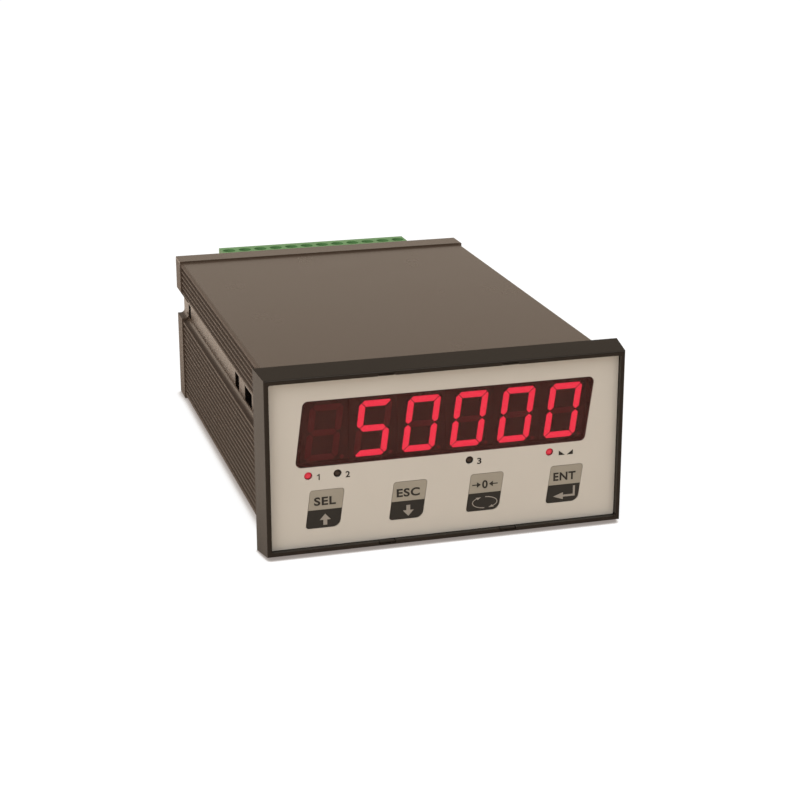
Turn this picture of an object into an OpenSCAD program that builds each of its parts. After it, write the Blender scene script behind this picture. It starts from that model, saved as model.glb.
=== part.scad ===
// Panel weight indicator: ribbed case, bezel with a foil front, six red digits, plug-in terminals.
// Millimetres. Seen from the front, X runs right, Y to the rear and Z up.

/* [Bezel] */
// Width of the bezel where it meets the panel
bezel_w = 96; // [95:0.5:110]
// Height of the bezel where it meets the panel
bezel_h = 48; // [47:0.5:56]
// Depth of the bezel from its front to the face that seats on the panel
bezel_d = 8.5; // [7.5:0.1:14]
// How far each side of the bezel leans in towards its front
bezel_taper = 1; // [0:0.1:1.5]
// Width of the rim around the front foil
rim_w = 1.1; // [0.8:0.1:1.6]
// Rounding of the bezel's front edges
bezel_edge_r = 0.5; // [0.2:0.1:0.7]
// Depth of the foil below the rim
foil_recess = 1.5; // [0.8:0.1:2.5]
// Thickness of the front foil and the key fields in it
foil_t = 0.5; // [0.3:0.1:0.8]
// Thickness of the plate that carries the foil
plate_t = 2; // [1.8:0.1:3]
// Thickness of the ledge behind the plate
ledge_t = 2; // [1.5:0.1:3]
// Distance of the rim's four catches from the middle
catch_x = 16.1; // [8:0.1:30]
// Width of each catch
catch_w = 4.2; // [2:0.1:5]

/* [Display] */
// Distance from digit to digit
digit_pitch = 12.6; // [11:0.05:13]
// Height of a lit figure
digit_h = 14.5; // [12:0.1:15.2]
// Width of a lit figure
digit_w = 8.5; // [7:0.1:8.8]
// Width of one segment
segment_w = 1.6; // [1.2:0.05:1.9]
// Depth of a digit's housing
digit_d = 8.1; // [6:0.1:10]
// Height of a digit's housing
digit_body_h = 18.2; // [17:0.1:18.6]
// Height of the digits' middle above the middle of the bezel
digit_rise = 7.65; // [6.5:0.05:8]
// Height of the window's middle above the middle of the bezel
window_rise = 7.95; // [7.2:0.05:8.6]
// Room between the digits and the window's edge at the sides
window_side = 0.4; // [0.2:0.05:1]
// Room between the figures and the window's edge above and below
window_over = 1.3; // [0.8:0.1:1.6]
// Rounding of the window's corners
window_r = 1.4; // [0.6:0.1:3]
// Thickness of the red window
window_t = 1; // [0.8:0.05:1.1]
// Lean of the figures, the window and the keys, in degrees
lean = 7.5; // [0:0.5:9]

/* [Keys and lamps] */
// Distance of the two inner keys from the middle
key_near = 10.2; // [8.5:0.05:12]
// Distance of the two outer keys from the middle
key_far = 31.85; // [24:0.05:35]
// Width of a key field
key_w = 8.7; // [7:0.1:10.6]
// Height of a key field
key_h = 10; // [8:0.1:10.6]
// Distance of the keys' middle below the middle of the bezel
key_drop = 11.9; // [11:0.1:12.6]
// Rounding of a key's small corners
key_r = 0.7; // [0.4:0.1:1.2]
// Rounding of a key's large corner, at the lower right
key_big_r = 1.8; // [1:0.1:2.5]
// How far a key can be pressed
key_travel = 0.4; // [0.2:0.05:0.5]
// Gap all round a key
key_gap = 0.1; // [0.08:0.01:0.2]
// Diameter of the switch plunger behind a key
plunger_dia = 3.4; // [2.4:0.1:4]
// Side of the square switch body
switch_side = 6; // [5:0.1:8]
// Depth of the switch body
switch_d = 3.5; // [2.5:0.1:5]
// Diameter of a lamp's lens
lamp_dia = 2; // [1.6:0.1:2.4]
// Room between the lamps and the digits above them
lamp_room = 0.1; // [0.05:0.05:1]

/* [Case] */
// Distance from the bezel's front to the rear face of the case
case_l = 138; // [124:0.2:170]
// Width over the rear flange
flange_w = 90.4; // [88:0.1:91.8]
// Height over the rear flange
flange_h = 43.8; // [42.4:0.1:44.8]
// Length of the rear flange
flange_l = 7.5; // [5.5:0.1:8]
// Rounding of the flange's corners
flange_r = 0.3; // [0.1:0.1:2]
// How far the flange stands out over the case's top and bottom and over the channel's slope
flange_step = 0.5; // [0.3:0.1:1.5]
// How far the flange stands up over the channel's ledge
flange_lip = 0.8; // [0.3:0.1:1.5]
// How far the rib tips lie inside the flange
rib_inset = 0.35; // [0.2:0.05:0.8]
// Depth of the side ribs
rib_depth = 0.8; // [0.4:0.05:0.9]
// Distance from rib to rib
rib_pitch = 1.62; // [1.5:0.01:2.4]
// Width of a rib's flat tip
rib_land = 0.5; // [0.3:0.05:0.8]
// Wall of the case
wall = 2; // [1.5:0.1:2.4]
// Rounding of the case's long edges
case_r = 0.7; // [0.3:0.1:1.2]
// Depth of the clamp channel below the flange's side
channel_depth = 2.1; // [1.9:0.1:2.6]
// Height of the channel's lower ledge above the flange's underside
channel_rise = 25; // [22:0.1:26.5]
// Height of the channel's flat floor
channel_floor = 6.1; // [5.4:0.1:7]
// Height of the sloped side above the floor
channel_slope = 3.4; // [2:0.1:4.5]
// Rounding of the channel's lower inner corner
channel_r = 1.2; // [0.3:0.1:1.5]
// Distance from the bezel's front to the latch window
latch_y = 34.6; // [26:0.2:38]
// Length of the latch window
latch_l = 9.3; // [8:0.1:13]
// Distance from the bezel's front to the clamp slot
clamp_y = 51.5; // [48.5:0.1:70]
// Length of the clamp slot
clamp_l = 5.4; // [3:0.1:9]
// Distance of the rear slot's end from the rear face of the case
rear_slot_back = 8.2; // [8:0.1:12]
// Length of the rear slot
rear_slot_l = 3.6; // [2:0.1:6]

/* [Terminals] */
// Poles of each terminal strip
poles = 12; // [6:1:13]
// Distance from pole to pole
pole_pitch = 5; // [4.9:0.01:5.2]
// How far the plugs stand out behind the case
plug_out = 8.8; // [8.4:0.1:14]
// Height of a plug
plug_h = 15; // [14:0.1:16]
// Depth of a header, from its board to its mouth
header_d = 12.2; // [11:0.1:16]
// Height of a header
header_h = 9.2; // [8.4:0.1:10]
// Diameter of a header pin
pin_dia = 1; // [0.8:0.05:1.2]
// Diameter of the screwdriver holes
driver_dia = 3.9; // [3.4:0.1:4.2]

/* [Electronics] */
// Thickness of the circuit boards
board_t = 1.6; // [1:0.1:2]
// Height of the main board above the floor of the case
board_rise = 4; // [2.5:0.1:6]
// Width of the mains transformer
transformer_w = 30; // [24:0.5:34]
// Height of the mains transformer
transformer_h = 25; // [20:0.5:27]
// Thickness of the transformer's stack of sheets
transformer_stack = 16; // [12:0.5:20]
// Length of a relay
relay_l = 28; // [20:0.5:29]
// Width of a relay
relay_w = 10; // [8:0.5:12]
// Height of a relay
relay_h = 12.5; // [10:0.5:16]
// Diameter of a filter capacitor
capacitor_dia = 10; // [6:0.5:12]
// Height of a filter capacitor
capacitor_h = 16; // [10:0.5:20]
// Side of the processor
processor_side = 14; // [10:0.5:18]
// Length of the converter chip
converter_l = 18; // [12:0.5:20]

/* [Hidden] */
$fn = 48;

// Clearances and small shared sizes
over = 1;
fit_gap = 0.3;
seat_gap = 0.1;
thin_gap = 0.05;
corner_steps = 6;

// Depth planes, counted from the bezel's front
overall_d = case_l + plug_out;
plate_y = foil_recess + foil_t;
ledge_y = plate_y + plate_t;
case_y = ledge_y + ledge_t;
digit_relief = plate_t / 2;
digit_y = ledge_y - digit_relief + seat_gap;
display_board_y = digit_y + digit_d;
display_board_end = display_board_y + board_t;
terminal_board_end = case_l - header_d;
terminal_board_y = terminal_board_end - board_t;

// Case section
mid_z = bezel_h / 2;
flange_x = flange_w / 2;
flange_z0 = mid_z - flange_h / 2;
flange_z1 = mid_z + flange_h / 2;
case_z0 = flange_z0 + flange_step;
case_z1 = flange_z1 - flange_step;
tip_x = flange_x - rib_inset;
root_x = tip_x - rib_depth;
floor_x = flange_x - channel_depth;
inner_x = floor_x - wall;
inner_z0 = case_z0 + wall;
inner_z1 = case_z1 - wall;
ledge_z = flange_z0 + channel_rise;
floor_z1 = ledge_z + channel_floor;
slope_run = channel_slope / channel_depth;
slope_tip_z = floor_z1 + slope_run * (tip_x - floor_x);
lip_z = ledge_z + flange_lip;
slot_rise = 1.3;
slot_drop = 0.6;
slot_z0 = ledge_z + slot_rise;
slot_z1 = floor_z1 - slot_drop;

// Ribs, left standing between grooves above and below the channel
rib_flank = 0.3;
groove_w = rib_pitch - rib_land;
ledge_land = 0.8;
slope_land = 0.5;
lower_ribs = floor((ledge_z - ledge_land - case_z0 - case_r + rib_land) / rib_pitch);
lower_z = ledge_z - ledge_land + rib_land - lower_ribs * rib_pitch;
upper_z = slope_tip_z + slope_land;
upper_ribs = floor((case_z1 - case_r - upper_z + rib_land) / rib_pitch);

// Front openings
digit_count = 6;
window_w = digit_count * digit_pitch + 2 * window_side;
window_h = digit_h + 2 * window_over;
window_z = mid_z + window_rise;
window_ledge = 0.8;
digit_z = mid_z + digit_rise;
foil_x = bezel_w / 2 - bezel_taper - rim_w;
foil_z0 = bezel_taper + rim_w;
foil_z1 = bezel_h - bezel_taper - rim_w;
foil_r = 0.4;
catch_h = 0.5;
catch_sink = 0.15;
nose_h = 0.5;
nose_l = 1;
nose_back = 0.4;
nose_y = plate_y + nose_back;
pocket_h = nose_h + seat_gap;
key_x = [-key_far, -key_near, key_near, key_far];
key_count = len(key_x);
key_z = mid_z - key_drop;
key_room = 0.2;
key_pocket = key_travel + key_room;
switch_y = display_board_y - switch_d;
plunger_depth = 1.2;
switch_bore = plunger_depth + key_travel + fit_gap;
lamp_x = [-36, -28.5, 6, 27.6];
lamp_collar = 0.35;
lamp_z = digit_z - digit_body_h / 2 - lamp_room - lamp_collar - lamp_dia / 2;
lamp_y = foil_recess + seat_gap;
lamp_l = 4.6;
lamp_collar_t = 1;
lamp_lead_r = 0.25;
lamp_lead_x = 0.64;
lit_lamp_index = [0, 3];
dark_lamp_index = [1, 2];

// Figures shown, as segments a to g counted from 0; the first digit is blank
figure_zero = [0, 1, 2, 3, 4, 5];
figure_five = [0, 2, 3, 5, 6];
figures = [[], figure_five, figure_zero, figure_zero, figure_zero, figure_zero];
segment_count = 7;
segment_gap = 0.14;
segment_cut = 0.9;
segment_far_cut = 1.2;
segment_t = 0.8;
point_r = 0.5;
point_out = 1.15;
digit_x = row(digit_count, digit_pitch);
bank_x = digit_count * digit_pitch / 2 + fit_gap;
bank_z0 = digit_z - digit_body_h / 2 - fit_gap;
bank_z1 = digit_z + digit_body_h / 2 + fit_gap;
hw = digit_w / 2;
hh = digit_h / 2;

// Bezel fittings inside the case
ledge_in = 2.1;
ledge_over = 1;
ledge_x = inner_x - ledge_in;
ledge_open_z0 = inner_z0 + ledge_over;
ledge_open_z1 = inner_z1 - ledge_over;
post_gap = 0.4;
post_x1 = inner_x - post_gap;
post_h = 4;
arm_t = 1.6;
arm_x1 = inner_x - fit_gap;
arm_z0 = slot_z0 + fit_gap;
arm_z1 = slot_z1 - fit_gap;
hook_l = 4;
hook_flat = 1.3;
hook_y = latch_y + fit_gap;

// Boards
board_room = 0.5;
board_x = inner_x - board_room;
board_gap = 0.2;
main_z = inner_z0 + board_rise;
main_top = main_z + board_t;
main_y0 = display_board_end + board_gap;
main_y1 = terminal_board_y - board_gap;
rail_h = 1.5;
rail_d = 1.6;
boss_r = 2.5;
boss_inset = 5;

// Pieces on the main board, one behind the other from the front
piece_gap = 4;
link_pitch = 2.54;
link_side = 2.5;
link_pins = 16;
link_half = link_pins * link_pitch / 2;
chip_lead_pitch = 1;
chip_lead_w = 0.4;
chip_lead_out = 1.2;
chip_lead_t = 0.5;
processor_x = 6;
processor_y = main_y0 + link_side + chip_lead_out + piece_gap + processor_side / 2;
processor_t = 1.8;
processor_end = processor_y + processor_side / 2 + chip_lead_out + piece_gap;
crystal_l = 11;
crystal_w = 4.6;
crystal_h = 3.6;
crystal_x = processor_x - processor_side / 2 - chip_lead_out - piece_gap - crystal_l / 2;
capacitor_x = [-28, -14];
capacitor_y = processor_end + capacitor_dia / 2;
bead_r = 0.4;
bead_z = 2;
tab_w = 10;
tab_h = 15.5;
tab_t = 1.3;
tab_hole_r = 1.9;
tab_hole_drop = 3.3;
moulding_h = 9;
moulding_t = 4.5;
leg_w = 0.64;
regulator_x = 30;
regulator_y = processor_end;
regulator_rise = 3;
converter_w = 7.5;
converter_t = 2.3;
converter_x = 22;
converter_y = regulator_y + moulding_t + piece_gap + chip_lead_out + converter_w / 2;
relay_inset = 2;
relay_x = board_x - relay_inset - relay_l / 2;
relay_y = converter_y + converter_w / 2 + chip_lead_out + piece_gap + relay_w / 2;
relay_r = 0.8;
limbs = 6;
limb_w = transformer_w / limbs;
core_r = 0.4;
coil_over = 4;
coil_gap = 0.3;
transformer_x = -20;
transformer_y = capacitor_y + capacitor_dia / 2 + piece_gap + coil_over + transformer_stack / 2;

// Terminal strips
strip_l = poles * pole_pitch;
pole_x = row(poles, pole_pitch);
plug_z1 = case_z1;
plug_z0 = plug_z1 - plug_h;
plug_gap = 0.2;
plug_y0 = case_l + plug_gap;
plug_y1 = overall_d;
header_z = plug_z1 - plug_h / 2;
header_wall = 1.1;
tongue_gap = 0.25;
header_x = strip_l / 2 + tongue_gap + header_wall;
header_floor = 2;
tongue_h = header_h - 2 * header_wall - 2 * fit_gap;
tongue_stop = 1.4;
tongue_y = terminal_board_end + header_floor + tongue_stop;
contact_room = 0.5;
contact_dia = pin_dia + contact_room;
pin_short = 2.2;
pin_y1 = case_l - pin_short;
screw_back = 4.1;
screw_y = plug_y1 - screw_back;
cage_w = 3.9;
cage_d = 5;
cage_h = 6;
cage_rise = 1.6;
cage_z0 = plug_z0 + cage_rise;
cage_z1 = cage_z0 + cage_h;
cage_y0 = screw_y - cage_d / 2;
cage_wall = 0.5;
cage_top = 1.4;
wire_w = 3;
wire_h = 3.4;
wire_rise = 1;
wire_z0 = cage_z0 + wire_rise;
screw_gap = 0.12;
screw_r = driver_dia / 2 - screw_gap;
screw_head = 2;
screw_sink = 3.4;
screw_top = plug_z1 - screw_sink;
shank_gap = 0.2;
shank_r = cage_w / 2 - cage_wall - shank_gap;
shank_rise = 3.2;
shank_end = cage_z0 + shank_rise;
slot_w = 0.7;
slot_d = 0.9;

// Colours
case_colour = [0.30, 0.27, 0.24];
bezel_colour = [0.16, 0.14, 0.13];
foil_colour = [0.76, 0.71, 0.64];
window_colour = [0.26, 0.10, 0.10];
digit_colour = [0.10, 0.06, 0.06];
lit_colour = [0.95, 0.15, 0.25];
dark_colour = [0.25, 0.09, 0.10];
key_colour = [0.62, 0.58, 0.52];
plastic_colour = [0.12, 0.12, 0.12];
board_colour = [0.10, 0.32, 0.17];
terminal_colour = [0.36, 0.62, 0.36];
metal_colour = [0.72, 0.72, 0.70];
copper_colour = [0.62, 0.40, 0.24];
relay_colour = [0.16, 0.22, 0.34];

// The origin lies under the middle of the whole object
module place() translate([0, -overall_d / 2, 0]) children();

// A plane outline of X and Z, drawn out from one depth to another
module slab(y0, y1)
    translate([0, y1, 0])
    rotate([90, 0, 0])
    linear_extrude(y1 - y0) children();

// A plane outline of X and Y, drawn up from one height to another
module slab_top(z0, z1) translate([0, 0, z0]) linear_extrude(z1 - z0) children();

// A plane outline of Z and Y, drawn out to the right from one side to another
module slab_side(x0, x1)
    translate([x1, 0, 0])
    rotate([0, -90, 0])
    linear_extrude(x1 - x0) children();

module box(x0, x1, y0, y1, z0, z1) translate([x0, y0, z0]) cube([x1 - x0, y1 - y0, z1 - z0]);

// A box with its middle at X = 0
module mid_box(x, y0, y1, z0, z1) box(-x, x, y0, y1, z0, z1);

module bar_y(x, z, r, y0, y1) translate([x, y0, z]) rotate([-90, 0, 0]) cylinder(r = r, h = y1 - y0);

// The same shape turned over, for the lower terminal strip
module flip() translate([0, 0, 2 * mid_z]) mirror([0, 0, 1]) children();

// The same shape on the left and on the right
module both_sides() {
    children();
    mirror([1, 0, 0]) children();
}

// Places of a row of pieces, spread evenly about the middle
function row(count, pitch) = [for (i = [0 : count - 1]) (i - (count - 1) / 2) * pitch];

function unit(v) = v / norm(v);
function turn(a, b) = (b - a + 540) % 360 - 180;
function angle_of(v) = atan2(v.y, v.x);

// Arc that rounds the corner v between its neighbours a and b
function corner_arc(a, v, b, r) =
    let (ua = unit(a - v), ub = unit(b - v), half = acos(ua * ub) / 2)
    let (c = v + unit(ua + ub) * r / sin(half), reach = r / tan(half))
    let (start = angle_of(v + ua * reach - c), sweep = turn(start, angle_of(v + ub * reach - c)))
    [for (i = [0 : corner_steps])
        c + r * [cos(start + sweep * i / corner_steps), sin(start + sweep * i / corner_steps)]];

// Outline with each corner rounded by its own radius
function soft_outline(p, r) =
    let (n = len(p))
    [for (i = [0 : n - 1]) each corner_arc(p[(i + n - 1) % n], p[i], p[(i + 1) % n], r[i])];

function rectangle(x, z0, z1) = [[-x, z0], [x, z0], [x, z1], [-x, z1]];
function leaned(p) = [p.x + p.y * tan(lean), p.y];
function leaning(w, h) = [for (p = rectangle(w / 2, -h / 2, h / 2)) leaned(p)];

module soft_rectangle(x, z0, z1, r) polygon(soft_outline(rectangle(x, z0, z1), [r, r, r, r]));

// Case and bezel

// Points of a row of grooves in the right side, from the lowest up
function groove_side(z0, count) =
    [for (i = [0 : count - 1], p = [[tip_x, 0], [root_x, rib_flank], [root_x, groove_w - rib_flank],
        [tip_x, groove_w]]) [p.x, z0 + i * rib_pitch + p.y]];

// Right side of the section from the foot to the top
case_side = concat(
    corner_arc([inner_x, case_z0], [tip_x, case_z0], [tip_x, mid_z], case_r),
    groove_side(lower_z, lower_ribs),
    [[tip_x, ledge_z]],
    corner_arc([tip_x, ledge_z], [floor_x, ledge_z], [floor_x, floor_z1], channel_r),
    [[floor_x, floor_z1], [tip_x, slope_tip_z]],
    groove_side(upper_z, upper_ribs),
    corner_arc([tip_x, mid_z], [tip_x, case_z1], [inner_x, case_z1], case_r));

function backwards(p) = [for (i = [len(p) - 1 : -1 : 0]) p[i]];

module case_section()
    polygon(concat(case_side, backwards([for (p = case_side) [-p.x, p.y]])));

// Opening of the channel through the flange, whose edges stand out over the channel
module channel_notch()
    let (top_z = floor_z1 - flange_step)
    polygon(concat([[floor_x, top_z]],
        corner_arc([floor_x, top_z], [floor_x, lip_z], [flange_x + over, lip_z], channel_r),
        [[flange_x + over, lip_z], [flange_x + over, top_z + slope_run * (channel_depth + over)]]));

module flange_section()
    difference() {
        soft_rectangle(flange_x, flange_z0, flange_z1, flange_r);
        both_sides() channel_notch();
    }

module side_window(y0, l)
    both_sides() box(inner_x - over, floor_x + over, y0, y0 + l, slot_z0, slot_z1);

module board_rails()
    both_sides()
    for (z = [main_z - seat_gap - rail_h, main_top + seat_gap])
        box(inner_x - rail_d, inner_x + thin_gap, main_y0, main_y1, z, z + rail_h);

module board_bosses()
    both_sides()
    for (z = [inner_z0 + boss_inset, inner_z1 - boss_inset])
        bar_y(inner_x - boss_inset, z, boss_r, terminal_board_end, case_l - wall + thin_gap);

module header_hole()
    mid_box(header_x + fit_gap, case_l - wall - over, case_l + over,
        header_z - header_h / 2 - fit_gap, header_z + header_h / 2 + fit_gap);

module case_shell()
    color(case_colour) place() {
        difference() {
            union() {
                slab(case_y, case_l) case_section();
                slab(case_l - flange_l, case_l) flange_section();
            }
            box(-inner_x, inner_x, case_y - over, case_l - wall, inner_z0, inner_z1);
            side_window(latch_y, latch_l);
            side_window(clamp_y, clamp_l);
            side_window(case_l - rear_slot_back - rear_slot_l, rear_slot_l);
            header_hole();
            flip() header_hole();
        }
        board_rails();
        board_bosses();
    }

// Side and front of the bezel in one direction, with rounded front edges
function bezel_outline(half) =
    let (front = half - bezel_taper)
    concat([[-half, bezel_d]],
        corner_arc([-half, bezel_d], [-front, 0], [front, 0], bezel_edge_r),
        corner_arc([-front, 0], [front, 0], [half, bezel_d], bezel_edge_r),
        [[half, bezel_d]]);

// Block whose four sides lean in towards the front
module bezel_block()
    intersection() {
        slab_top(0, bezel_h) polygon(bezel_outline(bezel_w / 2));
        translate([0, 0, mid_z])
            slab_side(-bezel_w / 2, bezel_w / 2) polygon(bezel_outline(bezel_h / 2));
    }

// Notches in the rim, above and below the foil
module catch_notches()
    for (x = [-catch_x, catch_x])
        box(x - catch_w / 2 - seat_gap, x + catch_w / 2 + seat_gap, -over, ledge_y,
            foil_z0 - catch_h - seat_gap, foil_z1 + catch_h + seat_gap);

// Upper catches: a tongue in each notch, with a nose that the plate snaps behind
module catches()
    for (x = [-catch_x, catch_x])
        slab_side(x - catch_w / 2 + seat_gap, x + catch_w / 2 - seat_gap)
            polygon([[foil_z1, catch_sink], [foil_z1 + catch_h - seat_gap, catch_sink],
                [foil_z1 + catch_h - seat_gap, ledge_y + over], [foil_z1, ledge_y + over],
                [foil_z1, nose_y + nose_l], [foil_z1 - nose_h, nose_y + nose_l], [foil_z1, nose_y]]);

module latch_arms()
    both_sides() {
        box(arm_x1 - arm_t, arm_x1, case_y - thin_gap, hook_y + hook_l, arm_z0, arm_z1);
        slab_top(arm_z0, arm_z1)
            polygon([[arm_x1 - thin_gap, hook_y], [floor_x - fit_gap, hook_y],
                [floor_x - fit_gap, hook_y + hook_flat], [arm_x1 - thin_gap, hook_y + hook_l]]);
    }

module front_bezel()
    color(bezel_colour) place() {
        difference() {
            bezel_block();
            slab(-over, ledge_y) soft_rectangle(foil_x, foil_z0, foil_z1, foil_r);
            catch_notches();
            mid_box(ledge_x, ledge_y - over, case_y + over, ledge_open_z0, ledge_open_z1);
            mid_box(tip_x + fit_gap, case_y, bezel_d + over, case_z0 - fit_gap, case_z1 + fit_gap);
        }
        catches();
        flip() catches();
        latch_arms();
        both_sides()
        for (z = [ledge_open_z0, ledge_open_z1 - post_h])
            box(ledge_x, post_x1, case_y - thin_gap, display_board_y, z, z + post_h);
    }

// Front plate, foil, window and keys

module key_shape(grow)
    polygon(soft_outline(leaning(key_w + 2 * grow, key_h + 2 * grow),
        [key_r + grow, key_big_r + grow, key_r + grow, key_r + grow]));

module at_key(i) translate([key_x[i], 0, key_z]) children();

module window_shape(grow)
    translate([0, window_z])
    polygon(soft_outline(leaning(window_w + 2 * grow, window_h + 2 * grow),
        [for (i = [0 : 3]) window_r + grow]));

module lamp_holes(y0, y1, r) for (x = lamp_x) bar_y(x, lamp_z, r, y0, y1);

module foil_outline()
    soft_rectangle(foil_x - seat_gap, foil_z0 + seat_gap, foil_z1 - seat_gap, foil_r);

// Pockets in the plate's upper edge, for the noses of the catches
module catch_pockets()
    for (x = [-catch_x, catch_x])
        box(x - catch_w / 2, x + catch_w / 2, nose_y - seat_gap, nose_y + nose_l + seat_gap,
            foil_z1 - pocket_h, foil_z1);

module front_plate()
    color(plastic_colour) place()
        difference() {
            slab(plate_y, ledge_y) foil_outline();
            catch_pockets();
            flip() catch_pockets();
            slab(plate_y - over, plate_y + window_t - foil_t + thin_gap) window_shape(thin_gap);
            slab(plate_y - over, ledge_y + over) window_shape(-window_ledge);
            mid_box(bank_x, ledge_y - digit_relief, ledge_y + over, bank_z0, bank_z1);
            for (i = [0 : key_count - 1]) at_key(i) {
                slab(plate_y - over, plate_y + key_pocket) key_shape(key_gap);
                bar_y(0, 0, plunger_dia / 2 + fit_gap, plate_y - over, ledge_y + over);
            }
            lamp_holes(plate_y - over, ledge_y + over, lamp_dia / 2 + fit_gap / 2);
        }

module front_overlay()
    color(foil_colour) place()
        difference() {
            slab(foil_recess, plate_y) foil_outline();
            slab(0, ledge_y) window_shape(thin_gap);
            for (i = [0 : key_count - 1]) at_key(i) slab(0, ledge_y) key_shape(key_gap);
            lamp_holes(0, ledge_y, lamp_dia / 2 + thin_gap);
        }

module display_window()
    color(window_colour) place()
        slab(foil_recess, foil_recess + window_t) window_shape(0);

module key(i)
    color(key_colour) place() at_key(i)
        slab(foil_recess, plate_y) key_shape(0);

module key_1() key(0);
module key_2() key(1);
module key_3() key(2);
module key_4() key(3);

module plunger(i)
    color(plastic_colour) place() at_key(i)
        bar_y(0, 0, plunger_dia / 2, plate_y, switch_y + plunger_depth);

module plunger_1() plunger(0);
module plunger_2() plunger(1);
module plunger_3() plunger(2);
module plunger_4() plunger(3);

// Display

// Point on the cut of an upper right corner where the top bar ends, half a gap from its middle
function mitre(cut) = [hw - (cut + segment_gap) / 2, hh - (cut - segment_gap) / 2];

// Top bar, right bar and middle bar; the others are their mirror images
bar_top = [[-hw + segment_far_cut, hh], [hw - segment_cut, hh], mitre(segment_cut),
    [hw - segment_w - segment_gap, hh - segment_w], [-hw + segment_w + segment_gap, hh - segment_w],
    [-mitre(segment_far_cut).x, mitre(segment_far_cut).y]];
function bar_right(cut) = [[hw, hh - cut], [hw - (cut - segment_gap) / 2, hh - (cut + segment_gap) / 2],
    [hw - segment_w, hh - segment_w - segment_gap], [hw - segment_w, segment_w / 2 + segment_gap],
    [hw - segment_w / 2, segment_gap], [hw, segment_w / 2]];
bar_middle = [[-hw + segment_w / 2 + segment_gap, 0], [-hw + segment_w + segment_gap, segment_w / 2],
    [hw - segment_w - segment_gap, segment_w / 2], [hw - segment_w / 2 - segment_gap, 0],
    [hw - segment_w - segment_gap, -segment_w / 2], [-hw + segment_w + segment_gap, -segment_w / 2]];

function mirrored(p, x, z) = [for (q = p) [q.x * x, q.y * z]];
segments = [bar_top, bar_right(segment_cut), mirrored(bar_right(segment_far_cut), 1, -1),
    mirrored(bar_top, -1, -1), mirrored(bar_right(segment_cut), -1, -1),
    mirrored(bar_right(segment_far_cut), -1, 1), bar_middle];

function is_lit(i, k) = len(search(k, figures[i])) > 0;

module segment(k) polygon([for (p = segments[k]) leaned(p)]);

module point_spot() translate(leaned([hw + point_out, -hh + point_r])) circle(r = point_r);

module at_digit(i) translate([digit_x[i], 0, digit_z]) children();

module digit(i)
    color(digit_colour) place() at_digit(i)
        difference() {
            mid_box(digit_pitch / 2 - thin_gap, digit_y, display_board_y,
                -digit_body_h / 2, digit_body_h / 2);
            for (k = [0 : segment_count - 1]) slab(digit_y - over, digit_y + segment_t) segment(k);
            slab(digit_y - over, digit_y + segment_t) point_spot();
        }

module digit_1() digit(0);
module digit_2() digit(1);
module digit_3() digit(2);
module digit_4() digit(3);
module digit_5() digit(4);
module digit_6() digit(5);

module shown_segments(lit)
    for (i = [0 : digit_count - 1], k = [0 : segment_count - 1])
        if (is_lit(i, k) == lit) at_digit(i) slab(digit_y, digit_y + segment_t) segment(k);

module lit_segments() color(lit_colour) place() shown_segments(true);

module dark_segments()
    color(dark_colour) place() {
        shown_segments(false);
        for (i = [0 : digit_count - 1]) at_digit(i) slab(digit_y, digit_y + segment_t) point_spot();
    }

// Small lamp: domed lens, collar and two leads down to the board
module lamp(x) {
    translate([x, lamp_y + lamp_dia / 2, lamp_z]) {
        intersection() {
            sphere(d = lamp_dia);
            box(-lamp_dia, lamp_dia, -lamp_dia, 0, -lamp_dia, lamp_dia);
        }
        bar_y(0, 0, lamp_dia / 2, 0, lamp_l);
        bar_y(0, 0, lamp_dia / 2 + lamp_collar, lamp_l - lamp_collar_t, lamp_l);
    }
    for (s = [-1, 1])
        bar_y(x + s * lamp_lead_x, lamp_z, lamp_lead_r, lamp_y + lamp_l, display_board_y);
}

module lit_lamps() color(lit_colour) place() for (i = lit_lamp_index) lamp(lamp_x[i]);
module dark_lamps() color(dark_colour) place() for (i = dark_lamp_index) lamp(lamp_x[i]);

module switch_bodies()
    color(plastic_colour) place()
        for (i = [0 : key_count - 1]) at_key(i)
            difference() {
                mid_box(switch_side / 2, switch_y, display_board_y, -switch_side / 2, switch_side / 2);
                bar_y(0, 0, plunger_dia / 2 + seat_gap, switch_y - over, switch_y + switch_bore);
            }

// Board that fills the section of the case
module upright_board(y) mid_box(board_x, y, y + board_t, inner_z0 + fit_gap, inner_z1 - fit_gap);

module display_board()
    color(board_colour) place()
        difference() {
            upright_board(display_board_y);
            both_sides()
                box(arm_x1 - arm_t - fit_gap, inner_x, display_board_y - over, display_board_end + over,
                    arm_z0 - fit_gap, arm_z1 + fit_gap);
        }

// Electronics inside the case

module main_board() color(board_colour) place() mid_box(board_x, main_y0, main_y1, main_z, main_top);

module terminal_board() color(board_colour) place() upright_board(terminal_board_y);

// Strip of square pins that joins the main board to an upright board
module link(y0) mid_box(link_half, y0, y0 + link_side, main_top, main_top + link_side);

module front_link() color(plastic_colour) place() link(display_board_end);
module rear_link() color(plastic_colour) place() link(terminal_board_y - link_side);

// Stack of E and I sheets with two windows for the coil
module transformer_core()
    color(metal_colour) place() translate([transformer_x, transformer_y, main_top])
        slab(-transformer_stack / 2, transformer_stack / 2)
            difference() {
                soft_rectangle(transformer_w / 2, 0, transformer_h, core_r);
                for (x = [-2 * limb_w, limb_w])
                    translate([x, limb_w]) square([limb_w, transformer_h - 2 * limb_w]);
            }

module transformer_coil()
    color(copper_colour) place() translate([transformer_x, transformer_y, main_top + limb_w + coil_gap])
        difference() {
            slab_top(0, transformer_h - 2 * limb_w - 2 * coil_gap)
                soft_rectangle(2 * limb_w - coil_gap, -transformer_stack / 2 - coil_over,
                    transformer_stack / 2 + coil_over, coil_over / 2);
            box(-limb_w - coil_gap, limb_w + coil_gap, -transformer_stack / 2 - coil_gap,
                transformer_stack / 2 + coil_gap, -over, transformer_h);
        }

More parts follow.
